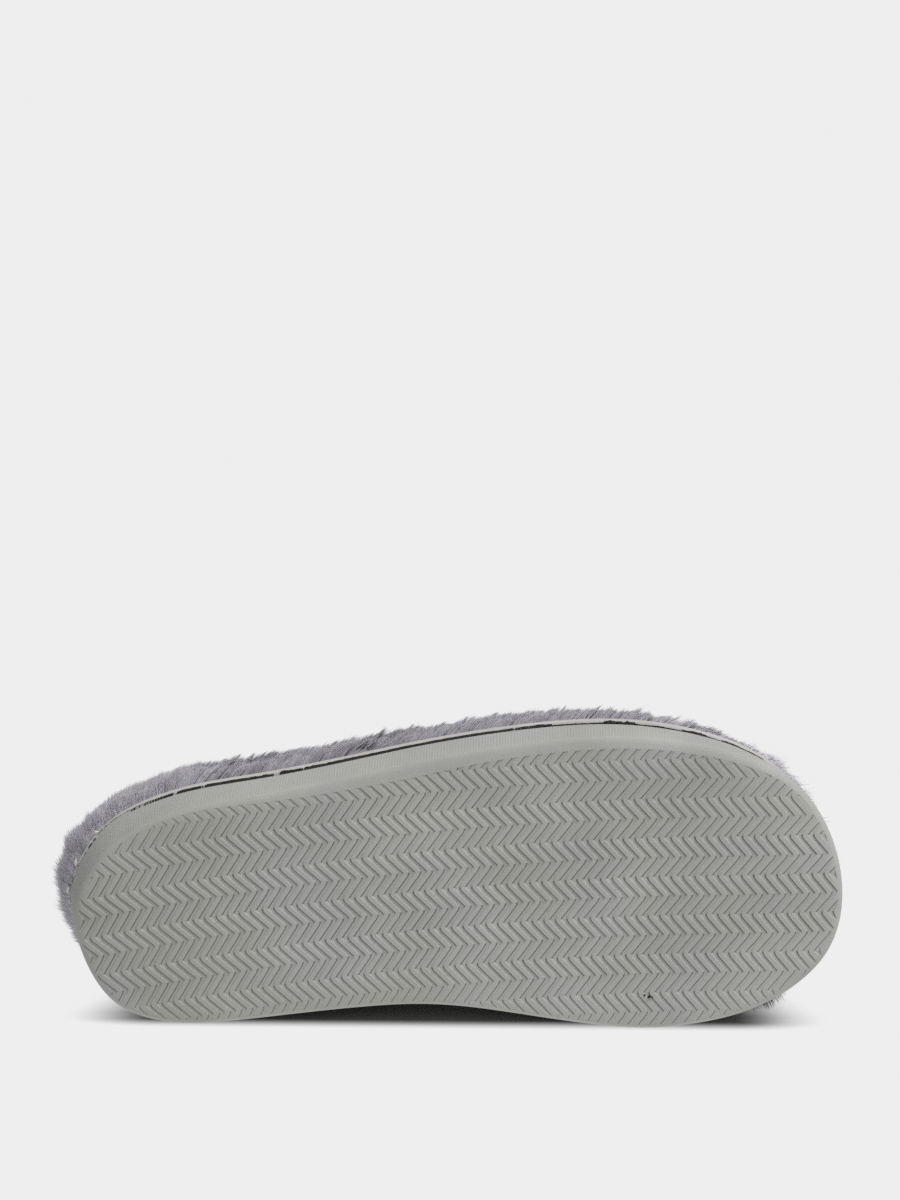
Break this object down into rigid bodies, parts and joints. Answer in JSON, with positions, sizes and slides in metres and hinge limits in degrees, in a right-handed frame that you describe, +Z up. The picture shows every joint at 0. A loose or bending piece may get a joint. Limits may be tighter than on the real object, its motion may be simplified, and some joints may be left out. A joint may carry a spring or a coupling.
{
  "type": "house slipper",
  "caption": "Plush house slipper for the right foot, lying on its inner side: thick herringbone foam sole, smooth midsole strip, padded insole and a hollow fur upper open at the collar.",
  "frame": {"origin": "middle of the box's bottom face, on the floor that the slipper lies on", "axes": "+X from heel to toe, +Y from the tread towards the upper, +Z up, from the inner side of the foot to the outer side"},
  "size_m": [0.2694, 0.0904, 0.1045],
  "materials": {
    "sole_foam": "matt moulded foam with a herringbone tread",
    "midsole_foam": "smooth cut foam sheet",
    "footbed_plush": "short clipped pile over padding",
    "upper_plush": "long soft pile, lavender grey"
  },
  "bodies": {
    "root": {"outsole": "sole_foam", "midsole": "midsole_foam", "insole": "footbed_plush", "upper": "upper_plush"}
  },
  "joints": []
}
